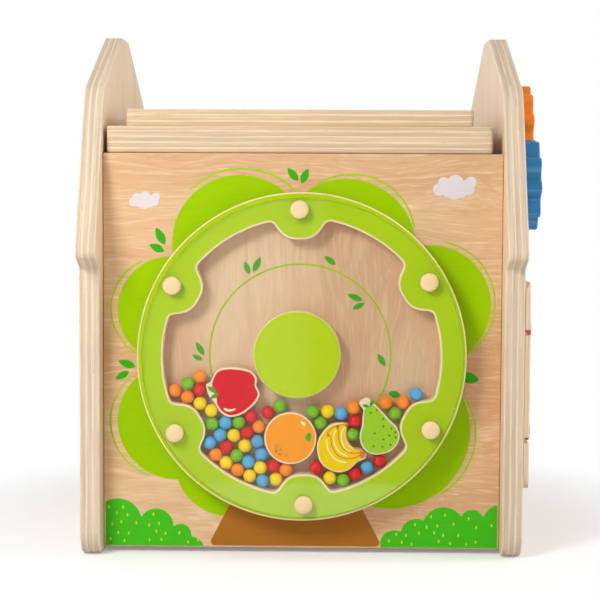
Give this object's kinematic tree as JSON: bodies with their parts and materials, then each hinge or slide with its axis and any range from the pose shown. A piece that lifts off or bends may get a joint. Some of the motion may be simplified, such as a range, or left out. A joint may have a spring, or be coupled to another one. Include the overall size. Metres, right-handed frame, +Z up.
{
  "type": "activity cube",
  "caption": "Wooden activity cube for small children: a box with a turning bead drum, meshing side gears, slot sliders and a lift-off lid.",
  "frame": {"origin": "on the floor, under the middle of the bounding box", "axes": "+Z up, the front with the drum faces -Y, the gears and the track board are on the +X side"},
  "size_m": [0.3484, 0.3702, 0.4],
  "materials": {
    "plywood": "satin lacquered birch plywood, plies showing at the edges",
    "panel_wood": "satin lacquered veneer with printed tree, hedges and clouds",
    "beech": "plain beech",
    "knob_wood": "pale turned beech",
    "drum_wood": "satin veneer with a printed line and leaves",
    "green_print": "plywood printed green, plies showing at the edges",
    "acrylic": "clear polished acrylic sheet",
    "steel": "zinc plated",
    "nylon": "white nylon",
    "blue_plastic": "moulded, soft gloss",
    "orange_plastic": "moulded, soft gloss",
    "red_paint": "satin",
    "apple_print": "plywood with a printed red face",
    "orange_print": "plywood with a printed orange face",
    "banana_print": "plywood with a printed yellow face",
    "pear_print": "plywood with a printed green face",
    "bead_paint": "beech balls painted in five colours"
  },
  "bodies": {
    "case": {"side_panel_left": "plywood", "side_panel_right": "plywood", "front_panel": "panel_wood", "back_panel": "panel_wood", "floor_panel": "plywood", "floor_rail_front": "beech", "floor_rail_back": "beech", "corner_batten_front_left": "beech", "corner_batten_front_right": "beech", "corner_batten_back_left": "beech", "corner_batten_back_right": "beech", "panel_dowel_left_1": "beech", "panel_dowel_left_2": "beech", "panel_dowel_left_3": "beech", "panel_dowel_left_4": "beech", "panel_dowel_right_1": "beech", "panel_dowel_right_2": "beech", "panel_dowel_right_3": "beech", "panel_dowel_right_4": "beech", "drum_spacer": "nylon", "drum_axle_bolt": "steel", "axle_washer": "steel", "axle_nut": "steel", "gear_pin_blue": "knob_wood", "gear_pin_orange": "knob_wood", "gear_washer_blue": "nylon", "gear_washer_orange": "nylon", "track_board": "plywood"},
    "drum": {"drum_back_disc": "drum_wood", "drum_ring": "green_print", "drum_hub_disc": "green_print", "drum_window": "acrylic", "drum_knob_1": "knob_wood", "drum_knob_2": "knob_wood", "drum_knob_3": "knob_wood", "drum_knob_4": "knob_wood", "drum_knob_5": "knob_wood", "drum_knob_6": "knob_wood", "fruit_apple": "apple_print", "fruit_orange": "orange_print", "fruit_bananas": "banana_print", "fruit_pear": "pear_print", "beads_left": "bead_paint", "beads_top": "bead_paint", "beads_right": "bead_paint", "beads_bottom": "bead_paint"},
    "gear_blue": {"gear_blue": "blue_plastic"},
    "gear_orange": {"gear_orange": "orange_plastic"},
    "lid": {"lid_board": "plywood", "lid_plate": "plywood", "lid_cleat_front": "beech", "lid_cleat_back": "beech"},
    "slider_upper": {"slider_upper": "red_paint"},
    "slider_lower": {"slider_lower": "red_paint"}
  },
  "joints": [
    {"name": "drum_spin", "type": "hinge", "parent": "case", "child": "drum", "pos_m": [-0.00885, -0.145, 0.15135], "axis": [0, -1, 0], "continuous": true},
    {"name": "gear_orange_spin", "type": "hinge", "parent": "case", "child": "gear_orange", "pos_m": [0.15645, -0.03197, 0.32476], "axis": [1, 0, 0], "continuous": true},
    {"name": "gear_blue_spin", "type": "hinge", "parent": "case", "child": "gear_blue", "pos_m": [0.15645, -0.082, 0.2805], "axis": [1, 0, 0], "continuous": true},
    {"name": "lid_lift", "type": "slide", "parent": "case", "child": "lid", "axis": [0, 0, 1], "range_m": [0, 0.11]},
    {"name": "slider_upper_slide", "type": "slide", "parent": "case", "child": "slider_upper", "axis": [0, 1, 0], "range_m": [0, 0.23]},
    {"name": "slider_lower_slide", "type": "slide", "parent": "case", "child": "slider_lower", "axis": [0, 1, 0], "range_m": [0, 0.23]}
  ],
  "couplings": [
    {"joint": "gear_orange_spin", "follows": "gear_blue_spin", "ratio": -1}
  ]
}
